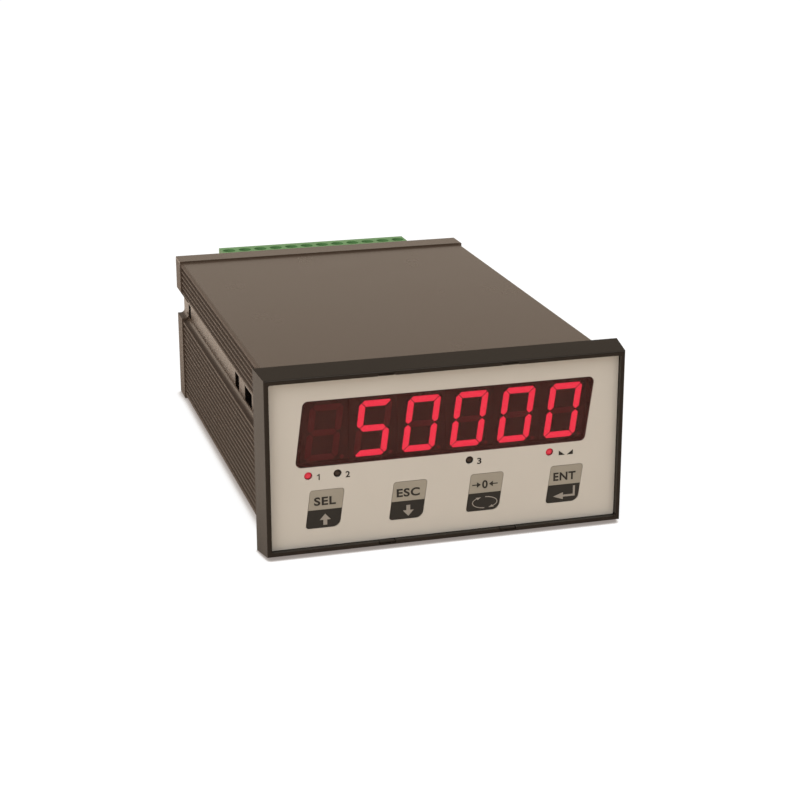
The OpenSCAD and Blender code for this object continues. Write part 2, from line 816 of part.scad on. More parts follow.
module relays()
    color(relay_colour) place()
        for (i = [0, 1]) translate([relay_x, relay_y + i * (relay_w + piece_gap), main_top])
            slab_top(0, relay_h) soft_rectangle(relay_l / 2, -relay_w / 2, relay_w / 2, relay_r);

module filter_capacitors()
    color(plastic_colour) place()
        for (x = capacitor_x) translate([x, capacitor_y, main_top])
            difference() {
                cylinder(d = capacitor_dia, h = capacitor_h);
                translate([0, 0, bead_z])
                    rotate_extrude() translate([capacitor_dia / 2, 0]) circle(r = bead_r);
            }

// Regulator: drilled metal tab, moulded block and three legs
module regulator()
    color(plastic_colour) place() translate([regulator_x, regulator_y, main_top]) {
        difference() {
            box(-tab_w / 2, tab_w / 2, 0, tab_t, regulator_rise, regulator_rise + tab_h);
            bar_y(0, regulator_rise + tab_h - tab_hole_drop, tab_hole_r, -over, tab_t + over);
        }
        box(-tab_w / 2, tab_w / 2, tab_t, moulding_t, regulator_rise, regulator_rise + moulding_h);
        for (x = [-link_pitch, 0, link_pitch])
            box(x - leg_w / 2, x + leg_w / 2, tab_t, tab_t + leg_w, 0, regulator_rise + thin_gap);
    }

// Row of flat leads along one side of a chip
module chip_leads(l, reach)
    for (x = [-l / 2 + chip_lead_pitch : chip_lead_pitch : l / 2 - chip_lead_pitch])
        translate([x, 0, 0])
            mid_box(chip_lead_w / 2, -reach - chip_lead_out, -reach + chip_lead_t, 0, chip_lead_t);

module chip(w, l, t) {
    box(-w / 2, w / 2, -l / 2, l / 2, chip_lead_t / 2, t);
    for (s = [0, 180]) rotate([0, 0, s]) chip_leads(w, l / 2);
}

module processor()
    color(plastic_colour) place() translate([processor_x, processor_y, main_top]) {
        chip(processor_side, processor_side, processor_t);
        rotate([0, 0, 90]) chip(processor_side, processor_side, processor_t);
    }

module converter()
    color(plastic_colour) place() translate([converter_x, converter_y, main_top])
        chip(converter_l, converter_w, converter_t);

module crystal()
    color(metal_colour) place()
        translate([crystal_x, processor_y, main_top])
        slab_top(0, crystal_h)
            soft_rectangle(crystal_l / 2, -crystal_w / 2, crystal_w / 2, crystal_w / 2 - thin_gap);

// Terminal strips

module header()
    difference() {
        mid_box(header_x, terminal_board_end, case_l, header_z - header_h / 2, header_z + header_h / 2);
        mid_box(header_x - header_wall, terminal_board_end + header_floor, case_l + over,
            header_z - header_h / 2 + header_wall, header_z + header_h / 2 - header_wall);
        for (x = pole_x) bar_y(x, header_z, pin_dia / 2, terminal_board_end - over, case_l);
    }

module pins() for (x = pole_x) bar_y(x, header_z, pin_dia / 2, terminal_board_end, pin_y1);

module plug()
    difference() {
        union() {
            mid_box(strip_l / 2, plug_y0, plug_y1, plug_z0, plug_z1);
            mid_box(strip_l / 2 - thin_gap, tongue_y, plug_y0 + thin_gap,
                header_z - tongue_h / 2, header_z + tongue_h / 2);
        }
        for (x = pole_x) translate([x, 0, 0]) {
            bar_y(0, header_z, contact_dia / 2, tongue_y - over, pin_y1 + fit_gap);
            translate([0, screw_y, cage_z1 - over])
                cylinder(d = driver_dia, h = plug_z1 - cage_z1 + 2 * over);
            mid_box(cage_w / 2 + thin_gap, cage_y0 - thin_gap, cage_y0 + cage_d + thin_gap,
                cage_z0 - thin_gap, cage_z1 + thin_gap);
            mid_box(wire_w / 2, screw_y, plug_y1 + over, wire_z0, wire_z0 + wire_h);
        }
    }

module cages()
    for (x = pole_x) translate([x, 0, 0])
        difference() {
            mid_box(cage_w / 2, cage_y0, cage_y0 + cage_d, cage_z0, cage_z1);
            mid_box(cage_w / 2 - cage_wall, cage_y0 - over, cage_y0 + cage_d + over,
                cage_z0 + cage_wall, cage_z1 - cage_top);
            translate([0, screw_y, cage_z1 - cage_top - over])
                cylinder(r = shank_r + thin_gap, h = cage_top + 2 * over);
        }

module screws()
    for (x = pole_x) translate([x, screw_y, 0])
        difference() {
            union() {
                translate([0, 0, screw_top - screw_head]) cylinder(r = screw_r, h = screw_head);
                translate([0, 0, shank_end]) cylinder(r = shank_r, h = screw_top - slot_d - shank_end);
            }
            mid_box(screw_r + over, -slot_w / 2, slot_w / 2, screw_top - slot_d, screw_top + over);
        }

module upper_header() color(terminal_colour) place() header();
module upper_pins() color(metal_colour) place() pins();
module upper_plug() color(terminal_colour) place() plug();
module upper_cages() color(metal_colour) place() cages();
module upper_screws() color(metal_colour) place() screws();
module lower_header() color(terminal_colour) place() flip() header();
module lower_pins() color(metal_colour) place() flip() pins();
module lower_plug() color(terminal_colour) place() flip() plug();
module lower_cages() color(metal_colour) place() flip() cages();
module lower_screws() color(metal_colour) place() flip() screws();

case_shell();
front_bezel();
front_plate();
front_overlay();
display_window();
display_board();
digit_1();
digit_2();
digit_3();
digit_4();
digit_5();
digit_6();
lit_segments();
dark_segments();
lit_lamps();
dark_lamps();
switch_bodies();
key_1();
key_2();
key_3();
key_4();
plunger_1();
plunger_2();
plunger_3();
plunger_4();
main_board();
front_link();
rear_link();
transformer_core();
transformer_coil();
relays();
filter_capacitors();
regulator();
processor();
converter();
crystal();
terminal_board();
upper_header();
upper_pins();
upper_plug();
upper_cages();
upper_screws();
lower_header();
lower_pins();
lower_plug();
lower_cages();
lower_screws();
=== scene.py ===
"""Looks of a panel weight indicator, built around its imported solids. Metres, in the frame of the part."""

import math

import bmesh
import bpy
from mathutils import Matrix, Vector


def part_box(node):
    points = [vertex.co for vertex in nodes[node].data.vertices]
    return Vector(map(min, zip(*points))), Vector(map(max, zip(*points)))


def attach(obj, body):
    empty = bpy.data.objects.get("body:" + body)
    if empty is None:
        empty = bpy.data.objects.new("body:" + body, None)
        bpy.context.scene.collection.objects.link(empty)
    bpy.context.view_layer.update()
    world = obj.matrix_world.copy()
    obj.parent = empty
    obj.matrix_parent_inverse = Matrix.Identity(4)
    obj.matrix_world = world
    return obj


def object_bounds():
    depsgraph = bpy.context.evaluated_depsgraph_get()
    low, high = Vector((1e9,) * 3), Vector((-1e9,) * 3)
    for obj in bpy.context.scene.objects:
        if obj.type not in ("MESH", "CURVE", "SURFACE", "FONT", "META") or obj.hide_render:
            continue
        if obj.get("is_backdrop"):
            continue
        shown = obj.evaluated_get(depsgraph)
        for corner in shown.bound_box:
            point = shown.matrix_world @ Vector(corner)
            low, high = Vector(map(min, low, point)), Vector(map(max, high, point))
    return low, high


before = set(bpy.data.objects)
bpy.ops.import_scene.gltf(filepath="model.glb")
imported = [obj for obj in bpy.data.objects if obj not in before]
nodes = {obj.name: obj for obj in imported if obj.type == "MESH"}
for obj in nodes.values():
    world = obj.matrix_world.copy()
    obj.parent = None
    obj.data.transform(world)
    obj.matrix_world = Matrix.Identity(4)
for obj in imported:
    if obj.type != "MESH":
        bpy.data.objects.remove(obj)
cad_low, cad_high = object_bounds()

MM = 0.001
MICRON = 0.000001
scene = bpy.context.scene
KEY_BODIES = {"key_1": "first_key", "key_2": "second_key", "key_3": "third_key", "key_4": "fourth_key"}

# Colours, in linear light
CASE_COLOUR = (0.069, 0.045, 0.030)
BEZEL_COLOUR = (0.018, 0.013, 0.009)
# Painted shade: the unlit inside of the case, seen through the slots
INSIDE_SHADE_COLOUR = (0.006, 0.004, 0.003)
FOIL_COLOUR = (0.530, 0.500, 0.444)
KEY_COLOUR = (0.290, 0.264, 0.212)
DARK_INK_COLOUR = (0.020, 0.018, 0.015)
LIGHT_INK_COLOUR = (0.275, 0.250, 0.215)
FILTER_COLOUR = (0.072, 0.018, 0.014)
DIGIT_COLOUR = (0.016, 0.013, 0.012)
LIT_SEGMENT_COLOUR = (0.600, 0.020, 0.040)
LIT_LAMP_COLOUR = (0.350, 0.020, 0.030)
GLOW_COLOUR = (1.0, 0.030, 0.075, 1)
DARK_SEGMENT_COLOUR = (0.200, 0.015, 0.025)
DARK_LAMP_COLOUR = (0.036, 0.022, 0.015)
BLACK_COLOUR = (0.020, 0.020, 0.020)
BOARD_COLOUR = (0.020, 0.130, 0.050)
STEEL_COLOUR = (0.420, 0.420, 0.410)
COPPER_COLOUR = (0.520, 0.240, 0.100)
RELAY_COLOUR = (0.030, 0.070, 0.200)
GREEN_COLOUR = (0.115, 0.270, 0.090)
TIN_COLOUR = (0.620, 0.620, 0.600)


# Steps that several materials share

def fixed(tree, kind, **constants):
    """Node of a kind, with constants on its sockets."""
    node = tree.nodes.new(kind)
    for socket, value in constants.items():
        node.inputs[socket].default_value = value
    return node


def mapped(tree, source, first, last, low, high):
    """Value that goes from low to high while the source goes from first to last."""
    node = tree.nodes.new("ShaderNodeMapRange")
    for socket, value in zip(("From Min", "From Max", "To Min", "To Max"), (first, last, low, high)):
        node.inputs[socket].default_value = value
    tree.links.new(source, node.inputs["Value"])
    return node.outputs["Result"]


def computed(tree, operation, *values):
    """Result of a math node. Each value is the output of another node, or a number."""
    node = tree.nodes.new("ShaderNodeMath")
    node.operation = operation
    for socket, value in zip(node.inputs, values):
        if isinstance(value, bpy.types.NodeSocket):
            tree.links.new(value, socket)
        else:
            socket.default_value = value
    return node.outputs["Value"]


def chained(tree, operation, values):
    """Result of a math operation along a list of outputs."""
    total = values[0]
    for value in values[1:]:
        total = computed(tree, operation, total, value)
    return total


def ramped(tree, factor, stops):
    """Colour that follows a factor through stops, each a position and a colour."""
    node = tree.nodes.new("ShaderNodeValToRGB")
    elements = node.color_ramp.elements
    while len(elements) < len(stops):
        elements.new(1)
    for element, (position, colour) in zip(elements, stops):
        element.position = position
        element.color = (*colour, 1)
    tree.links.new(factor, node.inputs["Fac"])
    return node.outputs["Color"]


def mixed(tree, factor, first, second):
    """Shader that goes from the first to the second with the factor."""
    node = tree.nodes.new("ShaderNodeMixShader")
    for socket, value in zip(node.inputs, (factor, first, second)):
        tree.links.new(value, socket)
    return node.outputs["Shader"]


def any_ray(tree, *rays):
    """Factor that is 1 for those kinds of rays."""
    path = tree.nodes.new("ShaderNodeLightPath")
    return chained(tree, "MAXIMUM", [path.outputs[ray] for ray in rays])


def noise(tree, place, scale, detail):
    """Noise of that scale and detail over a place."""
    node = fixed(tree, "ShaderNodeTexNoise", Scale=scale, Detail=detail)
    tree.links.new(place, node.inputs["Vector"])
    return node.outputs["Fac"]


# Moulded surfaces: how uneven their gloss is, and the forms of their mottle and grain
UNEVEN = 0.15
MOTTLE_FROM, MOTTLE_TO = 0.3, 0.7
MOTTLE_DETAIL = 5
GRAIN_DETAIL = 3
SOCKETS = {"specular": "Specular IOR Level", "metallic": "Metallic", "alpha": "Alpha",
           "glow": "Emission Color", "glow_strength": "Emission Strength"}


def material(name, colour, roughness, mottle, mottle_scale, grain_scale, grain_depth, **constants):
    """Surface with mottled colour, uneven roughness, a fine grain and constants on other sockets."""
    made = bpy.data.materials.new(name)
    made.use_nodes = True
    tree = made.node_tree
    shader = tree.nodes["Principled BSDF"]
    place = tree.nodes.new("ShaderNodeTexCoord").outputs["Object"]

    clouds = noise(tree, place, mottle_scale, MOTTLE_DETAIL)
    shares = ((MOTTLE_FROM, 1 - mottle), (MOTTLE_TO, 1 + mottle))
    stops = [(position, [c * share for c in colour]) for position, share in shares]
    tree.links.new(ramped(tree, clouds, stops), shader.inputs["Base Color"])

    uneven = mapped(tree, clouds, 0, 1, roughness * (1 - UNEVEN), roughness * (1 + UNEVEN))
    tree.links.new(uneven, shader.inputs["Roughness"])

    bump = fixed(tree, "ShaderNodeBump", Distance=grain_depth)
    tree.links.new(noise(tree, place, grain_scale, GRAIN_DETAIL), bump.inputs["Height"])
    tree.links.new(bump.outputs["Normal"], shader.inputs["Normal"])

    for word, value in constants.items():
        shader.inputs[SOCKETS[word]].default_value = value
    return made


case_plastic = material("case_plastic", CASE_COLOUR, roughness=0.26, mottle=0.04, mottle_scale=60,
                        grain_scale=5000, grain_depth=5 * MICRON)
bezel_plastic = material("bezel_plastic", BEZEL_COLOUR, roughness=0.22, mottle=0.06, mottle_scale=90,
                         grain_scale=6000, grain_depth=5 * MICRON, specular=0.15)
front_foil = material("front_foil", FOIL_COLOUR, roughness=0.5, mottle=0.012, mottle_scale=70,
                      grain_scale=9000, grain_depth=4 * MICRON)
key_foil = material("key_foil", KEY_COLOUR, roughness=0.45, mottle=0.03, mottle_scale=200,
                    grain_scale=9000, grain_depth=4 * MICRON)
red_filter = material("red_filter", FILTER_COLOUR, roughness=0.25, mottle=0.04, mottle_scale=80,
                      grain_scale=800, grain_depth=1 * MICRON, specular=0.2, alpha=0.4)
digit_housing = material("digit_housing", DIGIT_COLOUR, roughness=0.6, mottle=0.1, mottle_scale=300,
                         grain_scale=1500, grain_depth=4 * MICRON)
lit_segment = material("lit_segment", LIT_SEGMENT_COLOUR, roughness=0.4, mottle=0.05, mottle_scale=400,
                       grain_scale=8000, grain_depth=10 * MICRON, glow=GLOW_COLOUR, glow_strength=2.0)
lit_lamp = material("lit_lamp", LIT_LAMP_COLOUR, roughness=0.35, mottle=0.08, mottle_scale=400,
                    grain_scale=8000, grain_depth=10 * MICRON, glow=GLOW_COLOUR, glow_strength=0.32)
dark_segment = material("dark_segment", DARK_SEGMENT_COLOUR, roughness=0.5, mottle=0.05, mottle_scale=400,
                        grain_scale=8000, grain_depth=10 * MICRON)
dark_lamp = material("dark_lamp", DARK_LAMP_COLOUR, roughness=0.35, mottle=0.08, mottle_scale=400,
                     grain_scale=8000, grain_depth=10 * MICRON, specular=0.3)
black_plastic = material("black_plastic", BLACK_COLOUR, roughness=0.5, mottle=0.1, mottle_scale=200,
                         grain_scale=6000, grain_depth=20 * MICRON)
circuit_board = material("circuit_board", BOARD_COLOUR, roughness=0.35, mottle=0.15, mottle_scale=120,
                         grain_scale=3000, grain_depth=20 * MICRON)
core_steel = material("core_steel", STEEL_COLOUR, roughness=0.4, mottle=0.1, mottle_scale=300,
                      grain_scale=3000, grain_depth=20 * MICRON, metallic=1)
coil_copper = material("coil_copper", COPPER_COLOUR, roughness=0.35, mottle=0.1, mottle_scale=300,
                       grain_scale=3000, grain_depth=20 * MICRON, metallic=1)
relay_plastic = material("relay_plastic", RELAY_COLOUR, roughness=0.4, mottle=0.06, mottle_scale=100,
                         grain_scale=5000, grain_depth=20 * MICRON)
terminal_green = material("terminal_green", GREEN_COLOUR, roughness=0.45, mottle=0.05, mottle_scale=120,
                          grain_scale=5000, grain_depth=20 * MICRON)
tin_plate = material("tin_plate", TIN_COLOUR, roughness=0.3, mottle=0.08, mottle_scale=300,
                     grain_scale=3000, grain_depth=10 * MICRON, metallic=1)
dark_ink = material("dark_ink", DARK_INK_COLOUR, roughness=0.5, mottle=0.06, mottle_scale=400,
                    grain_scale=9000, grain_depth=2 * MICRON, specular=0.25)
light_ink = material("light_ink", LIGHT_INK_COLOUR, roughness=0.5, mottle=0.04, mottle_scale=400,
                     grain_scale=9000, grain_depth=2 * MICRON)


def places(tree):
    """Distance from the middle plane to either side, and place along y and z."""
    axes = tree.nodes.new("ShaderNodeSeparateXYZ")
    place = tree.nodes.new("ShaderNodeTexCoord")
    tree.links.new(place.outputs["Object"], axes.inputs["Vector"])
    return computed(tree, "ABSOLUTE", axes.outputs["X"]), axes.outputs["Y"], axes.outputs["Z"]


def roughen(made, more, spans):
    """Adds roughness to a material, scaled by a factor for x from the middle, one for y and one for z.

    Each span has a first and a last place, and the factors at both.
    """
    tree = made.node_tree
    roughness = tree.nodes["Principled BSDF"].inputs["Roughness"]
    factors = [mapped(tree, source, *span) for source, span in zip(places(tree), spans)]
    share = chained(tree, "MULTIPLY", factors)
    tree.links.new(computed(tree, "MULTIPLY_ADD", share, more, roughness.links[0].from_socket), roughness)


def paint_inside_shade(made, low, high, colour):
    """Paints shade on what lies in the box from low to high, as another colour. The box counts x from the
    middle.
    """
    tree = made.node_tree
    base = tree.nodes["Principled BSDF"].inputs["Base Color"]
    within = [computed(tree, "COMPARE", source, (first + last) / 2, (last - first) / 2)
              for source, first, last in zip(places(tree), low, high)]
    choose = tree.nodes.new("ShaderNodeMix")
    choose.data_type = "RGBA"
    tree.links.new(chained(tree, "MULTIPLY", within), choose.inputs["Factor"])
    tree.links.new(base.links[0].from_socket, choose.inputs["A"])
    choose.inputs["B"].default_value = (*colour, 1)
    tree.links.new(choose.outputs["Result"], base)


# The ribs are matt, beside the smooth channels and top, and the sides of the flange a little less so
FLANGE_L = 7.5 * MM
FLANGE_STEP = 0.5 * MM
FLANGE_SHARE = 0.7
RIB_FROM, RIB_TO = 43.4 * MM, 43.7 * MM
RIB_ROUGHER = 0.33
SHARP, SOFT = 0.05 * MM, 0.3 * MM
case_low, case_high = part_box("case_shell")
flange_front = case_high.y - FLANGE_L
case_top = case_high.z - FLANGE_STEP
roughen(case_plastic, RIB_ROUGHER, ((RIB_FROM, RIB_TO, 0, 1),
                                    (flange_front - SHARP, flange_front, 1, FLANGE_SHARE),
                                    (case_top - SOFT, case_top, 1, 0)))

# The slots in the clamp channels open into the inside of the case, which is painted dark as shade, short of
# its rear face
SLOT_X = 42.95 * MM
SLOT_LOW, SLOT_HIGH = 27.0 * MM, 33.4 * MM
REAR_SKIN = 1.0 * MM
paint_inside_shade(case_plastic, (0, case_low.y, SLOT_LOW), (SLOT_X, case_high.y - REAR_SKIN, SLOT_HIGH),
              INSIDE_SHADE_COLOUR)


def dress(made, *names):
    for name in names:
        node = nodes[name]
        node.data.materials.clear()
        node.data.materials.append(made)


dress(case_plastic, "case_shell")
dress(bezel_plastic, "front_bezel")
dress(black_plastic, "front_plate", "switch_bodies", "plunger_1", "plunger_2", "plunger_3", "plunger_4")
dress(black_plastic, "front_link", "rear_link", "filter_capacitors", "regulator", "processor", "converter")
dress(front_foil, "front_overlay")
dress(key_foil, *KEY_BODIES)
dress(red_filter, "display_window")
dress(digit_housing, "digit_1", "digit_2", "digit_3", "digit_4", "digit_5", "digit_6")
dress(lit_segment, "lit_segments")
dress(lit_lamp, "lit_lamps")
dress(dark_segment, "dark_segments")
dress(dark_lamp, "dark_lamps")
dress(circuit_board, "display_board", "main_board", "terminal_board")
dress(core_steel, "transformer_core", "crystal")
dress(coil_copper, "transformer_coil")
dress(relay_plastic, "relays")
dress(terminal_green, "upper_plug", "lower_plug", "upper_header", "lower_header")
dress(tin_plate, "upper_pins", "upper_cages", "upper_screws", "lower_pins", "lower_cages", "lower_screws")

# Moulded edges: a fine round that catches the light
CASE_ROUND = 0.15 * MM
BEZEL_ROUND = 0.12 * MM
ROUND_SEGMENTS = 2
ROUND_FROM = math.radians(35)
WELD_DISTANCE = 0.001 * MM


def round_edges(name, width):
    node = nodes[name]
    weld = node.modifiers.new("weld", "WELD")
    weld.merge_threshold = WELD_DISTANCE
    bevel = node.modifiers.new("bevel", "BEVEL")
    bevel.width = width
    bevel.segments = ROUND_SEGMENTS
    bevel.limit_method = "ANGLE"
    bevel.angle_limit = ROUND_FROM
    bevel.harden_normals = True
    bevel.use_clamp_overlap = True


round_edges("case_shell", CASE_ROUND)
round_edges("front_bezel", BEZEL_ROUND)

# Print on the front: a thin film of ink, with outlines in millimetres, x to the right and z up
INK = 0.03 * MM
LEAN = math.tan(math.radians(7.5))
ARC_STEPS = 8
LETTER_SPACE = 1.1
LETTER_STEPS = 6


def place_print(piece, made, body):
    scene.collection.objects.link(piece)
    piece.data.materials.clear()
    piece.data.materials.append(made)
    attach(piece, body)


def film(name, loops, x, z, front, made, body):
    """Ink in the shape of closed outlines round (x, z), as thick as INK, on the plane y = front."""
    mesh = bpy.data.meshes.new(name)
    shape = bmesh.new()
    for loop in loops:
        corners = [shape.verts.new((x + MM * u, front, z + MM * w)) for u, w in loop]
        face = shape.faces.new(corners)
        solid = bmesh.ops.extrude_face_region(shape, geom=[face])
        moved = [v for v in solid["geom"] if isinstance(v, bmesh.types.BMVert)]
        bmesh.ops.translate(shape, verts=moved, vec=(0, -INK, 0))
    bmesh.ops.recalc_face_normals(shape, faces=shape.faces)
    shape.to_mesh(mesh)
    shape.free()
    place_print(bpy.data.objects.new(name, mesh), made, body)


def words(name, text, width, height, weight, x, z, front, made, body, slot):
    """Letters of that width and height, bolder by a weight, all in millimetres, centred on (x, z)."""
    letters = bpy.data.curves.new(name, "FONT")
    letters.body = text
    letters.size = MM * height
    letters.offset = MM * weight
    letters.space_character = LETTER_SPACE
    letters.extrude = INK / 2
    letters.resolution_u = LETTER_STEPS
    source = bpy.data.objects.new(name + "_letters", letters)
    scene.collection.objects.link(source)
    bpy.context.view_layer.update()
    mesh = bpy.data.meshes.new_from_object(source.evaluated_get(bpy.context.evaluated_depsgraph_get()))
    bpy.data.objects.remove(source)
    low = Vector([min(v.co[i] for v in mesh.vertices) for i in range(3)])
    high = Vector([max(v.co[i] for v in mesh.vertices) for i in range(3)])
    grow = Matrix.Diagonal((MM * width / (high.x - low.x), MM * height / (high.y - low.y), 1, 1))
    upright = Matrix.Rotation(math.radians(90), 4, "X")
    place = Matrix.Translation((x, front - INK / 2, z))
    mesh.transform(place @ upright @ grow @ Matrix.Translation(-(low + high) / 2))
    mesh.name = name
    place_print(bpy.data.objects.new(name, mesh), made, body)


def corner(u, w, radius, start):
    """Quarter of a circle round (u, w), from that angle on."""
    angles = [math.radians(start + 90 * i / ARC_STEPS) for i in range(ARC_STEPS + 1)]
    return [(u + radius * math.cos(a), w + radius * math.sin(a)) for a in angles]


def leaned(loop):
    return [(u + w * LEAN, w) for u, w in loop]


def mirrored(loop):
    return [(u, -w) for u, w in reversed(loop)]


# Sizes of the key print, from the middle of each key
KEY_W, KEY_H = 8.7, 10.0
FIELD_TOP = -0.2
FIELD_R, FIELD_BIG_R = 0.7, 1.8
LEGEND_RISE = 2.05
LEGEND_H = 2.25
LEGEND_WEIGHT = 0.07
SIGN_DROP = 2.85

# Dark field: the lower half of a key, with one large corner
half_w, half_h = KEY_W / 2, KEY_H / 2
field = leaned([(half_w, FIELD_TOP), (-half_w, FIELD_TOP),
                *corner(-half_w + FIELD_R, -half_h + FIELD_R, FIELD_R, 180),
                *corner(half_w - FIELD_BIG_R, -half_h + FIELD_BIG_R, FIELD_BIG_R, 270)])

# Block arrow: head, neck and shaft
ARROW_W, ARROW_H = 2.85, 2.95
ARROW_NECK = -0.1
ARROW_SHAFT = 1.0
arrow_right = [(ARROW_SHAFT / 2, -ARROW_H / 2), (ARROW_SHAFT / 2, ARROW_NECK), (ARROW_W / 2, ARROW_NECK)]
arrow_left = [(-u, w) for u, w in reversed(arrow_right)]
arrow_up = [(0, ARROW_H / 2), *arrow_left, *arrow_right]

# Cycle sign: two bowed strokes, each with an arrow head at its end, with angles in degrees
CYCLE_A, CYCLE_B = 3.3, 1.5
CYCLE_LINE, CYCLE_HEAD = 0.21, 0.42
CYCLE_FROM, CYCLE_TO, CYCLE_TIP = 132, 268, 108
CYCLE_STEPS = 20


def cycle_half(turn):
    """Half of the cycle sign: a stroke along an ellipse, and its arrow head."""
    def along(angle, out):
        a = math.radians(angle + turn)
        return ((CYCLE_A + out) * math.cos(a), (CYCLE_B + out) * math.sin(a))

    step = (CYCLE_TO - CYCLE_FROM) / CYCLE_STEPS
    angles = [CYCLE_FROM + step * i for i in range(CYCLE_STEPS + 1)]
    stroke = [along(a, CYCLE_LINE / 2) for a in angles]
    stroke += [along(a, -CYCLE_LINE / 2) for a in reversed(angles)]
    head = [along(CYCLE_FROM, CYCLE_HEAD), along(CYCLE_FROM, -CYCLE_HEAD), along(CYCLE_TIP, 0)]
    return [stroke, head]


# Enter sign: a stroke down from the top, a stroke to the left, and an arrow head
ENTER_LEFT, ENTER_RIGHT = -3.0, 2.7
ENTER_TOP, ENTER_LOW = 2.05, -0.5
ENTER_LINE = 0.55
ENTER_HEAD_L, ENTER_HEAD_H = 2.7, 1.9
enter_neck = ENTER_LEFT + ENTER_HEAD_L
enter_inner, enter_outer = ENTER_RIGHT - ENTER_LINE / 2, ENTER_RIGHT + ENTER_LINE / 2
enter_upper, enter_lower = ENTER_LOW + ENTER_LINE / 2, ENTER_LOW - ENTER_LINE / 2
enter_sign = [
    [(enter_inner, ENTER_TOP), (enter_inner, enter_upper), (enter_neck, enter_upper),
     (enter_neck, enter_lower), (enter_outer, enter_lower), (enter_outer, ENTER_TOP)],
    [(ENTER_LEFT, ENTER_LOW), (enter_neck, ENTER_LOW - ENTER_HEAD_H / 2),
     (enter_neck, ENTER_LOW + ENTER_HEAD_H / 2)],
]

# Zero sign: an arrow on either side that points at a nought
ZERO_FAR, ZERO_NEAR = 3.45, 1.1
ZERO_HEAD_L, ZERO_HEAD_H = 1.05, 1.5
ZERO_LINE = 0.28


def zero_arrow(side):
    """Stroke and head of the arrow on the left side, -1, or the right side, 1."""
    far, neck, tip = side * ZERO_FAR, side * (ZERO_NEAR + ZERO_HEAD_L), side * ZERO_NEAR
    stroke = [(far, -ZERO_LINE / 2), (far, ZERO_LINE / 2), (neck, ZERO_LINE / 2), (neck, -ZERO_LINE / 2)]
    head = [(tip, 0), (neck, ZERO_HEAD_H / 2), (neck, -ZERO_HEAD_H / 2)]
    return [stroke, head]


# Signs on the dark fields, and above them the legends with their widths
signs = {
    "key_1": [arrow_up],
    "key_2": [mirrored(arrow_up)],
    "key_3": [*cycle_half(0), *cycle_half(180)],
    "key_4": enter_sign,
}
legends = {"key_1": ("SEL", 5.6), "key_2": ("ESC", 6.1), "key_3": ("0", 1.5), "key_4": ("ENT", 6.1)}

for key, body in KEY_BODIES.items():
    low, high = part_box(key)
    x, z = (low.x + high.x) / 2, (low.z + high.z) / 2
    front = low.y
    legend_z = z + MM * LEGEND_RISE
    film(f"{key}_field", [field], x, z, front, dark_ink, body)
    film(f"{key}_sign", signs[key], x, z - MM * SIGN_DROP, front - INK, light_ink, body)
    words(f"{key}_legend", *legends[key], LEGEND_H, LEGEND_WEIGHT, x, legend_z, front, dark_ink, body,
          "key_foil")
    if key == "key_3":
        arrows = zero_arrow(-1) + zero_arrow(1)
        film(f"{key}_arrows", arrows, x, legend_z, front, dark_ink, body)

# Places of the lamps, whose boxes reach to their collars
COLLAR_R = 1.35 * MM
LAMP_Z = 21.05 * MM
lit_low, lit_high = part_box("lit_lamps")
dark_low, dark_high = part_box("dark_lamps")
lamp_x = (lit_low.x + COLLAR_R, dark_low.x + COLLAR_R, dark_high.x - COLLAR_R, lit_high.x - COLLAR_R)
foil_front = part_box("front_overlay")[0].y

# Marks beside the lamps: a drawn 1, the numbers 2 and 3, and a sign of two wedges
MARK_W, MARK_H = 1.15, 1.65
MARK_WEIGHT = 0.04
MARK_REACH = 2.6
MARK_DROP = 0.4
ONE_LINE, ONE_FLAG = 0.3, 0.42
STABLE_W, STABLE_H = 1.7, 1.3
STABLE_NEAR, STABLE_FAR = 2.5, 6.4
STABLE_DROP = 1.05
mark_x = [x + MM * MARK_REACH for x in lamp_x]
mark_z = LAMP_Z - MM * MARK_DROP
one_top = MARK_H / 2
flag_z = one_top - ONE_FLAG
one = [(0, -one_top), (ONE_LINE, -one_top), (ONE_LINE, one_top), (ONE_LINE / 2, one_top),
       (-ONE_FLAG, flag_z), (-ONE_FLAG, flag_z - ONE_LINE / 2), (0, flag_z)]
film("lamp_mark_1", [one], mark_x[0], mark_z, foil_front, dark_ink, "housing")
for i in (1, 2):
    words(f"lamp_mark_{i + 1}", str(i + 1), MARK_W, MARK_H, MARK_WEIGHT, mark_x[i], mark_z, foil_front,
          dark_ink, "housing", "front_foil")
stable = [[(STABLE_NEAR, 0), (STABLE_NEAR + STABLE_W, 0), (STABLE_NEAR, STABLE_H)],
          [(STABLE_FAR, 0), (STABLE_FAR, STABLE_H), (STABLE_FAR - STABLE_W, 0)]]
film("lamp_mark_4", stable, lamp_x[3], LAMP_Z - MM * STABLE_DROP, foil_front, dark_ink, "housing")

# Floor: leans so that the rear edge of the bezel and the rear flange both stand on it
FLOOR_SIDE = 8.0
BEZEL_D = 8.5 * MM
bezel_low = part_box("front_bezel")[0]
foot_y = bezel_low.y + BEZEL_D
bpy.ops.mesh.primitive_plane_add(size=FLOOR_SIDE, location=(0, foot_y, bezel_low.z))
floor = bpy.context.object
floor.name = "floor"
floor.rotation_euler.x = math.atan2(case_low.z - bezel_low.z, case_high.y - foot_y)
floor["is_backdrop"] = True

# Floor paint: white to the eye with a shadow where the part stands, and a warm bounce on the part
FLOOR_BOUNCE = (0.93, 0.785, 0.655, 1)
FLOOR_SHADE = (0.15, 0.15, 0.15, 1)
FLOOR_LIFT = 0.92

# Reach of that shadow at the bezel, and from SHADOW_GROW behind it, where the case stands off the floor
SHADOW_NEAR, SHADOW_FAR = 1.6 * MM, 4.0 * MM
SHADOW_GROW = 8.0 * MM

